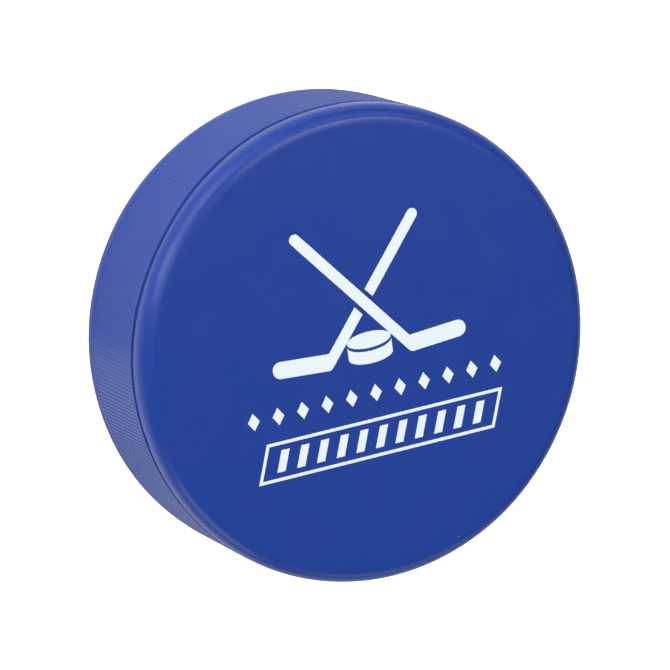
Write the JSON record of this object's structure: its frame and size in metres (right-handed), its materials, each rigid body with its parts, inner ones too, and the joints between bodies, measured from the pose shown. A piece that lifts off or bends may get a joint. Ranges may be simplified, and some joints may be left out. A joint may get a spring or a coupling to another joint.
{
  "type": "hockey puck",
  "caption": "Soft round foam puck with rounded edges, a finely knurled rim behind a parting groove, and a plain print of crossed sticks.",
  "frame": {"origin": "centre of the back face, on the surface that the puck rests on", "axes": "+Z along the turning axis, out of the printed face; +X along the print's baseline, to its right; +Y towards the top of the print"},
  "size_m": [0.0762, 0.0762, 0.0256],
  "materials": {
    "smooth_skin": "satin moulded polyurethane skin",
    "knurled_skin": "finely knurled satin polyurethane skin",
    "foam": "open matt foam",
    "ink": "satin white pad-printing ink"
  },
  "bodies": {
    "root": {"foam_core": "foam", "front_skin": "smooth_skin", "back_skin": "smooth_skin", "rim_band": "knurled_skin", "print_stick_over": "ink", "print_stick_blade": "ink", "print_stick_handle": "ink", "print_icon_top": "ink", "print_icon_side": "ink", "print_diamond_01": "ink", "print_diamond_02": "ink", "print_diamond_03": "ink", "print_diamond_04": "ink", "print_diamond_05": "ink", "print_diamond_06": "ink", "print_diamond_07": "ink", "print_diamond_08": "ink", "print_diamond_09": "ink", "print_diamond_10": "ink", "print_diamond_11": "ink", "print_panel_frame": "ink", "print_stripe_01": "ink", "print_stripe_02": "ink", "print_stripe_03": "ink", "print_stripe_04": "ink", "print_stripe_05": "ink", "print_stripe_06": "ink", "print_stripe_07": "ink", "print_stripe_08": "ink", "print_stripe_09": "ink", "print_stripe_10": "ink", "print_stripe_11": "ink"}
  },
  "joints": []
}
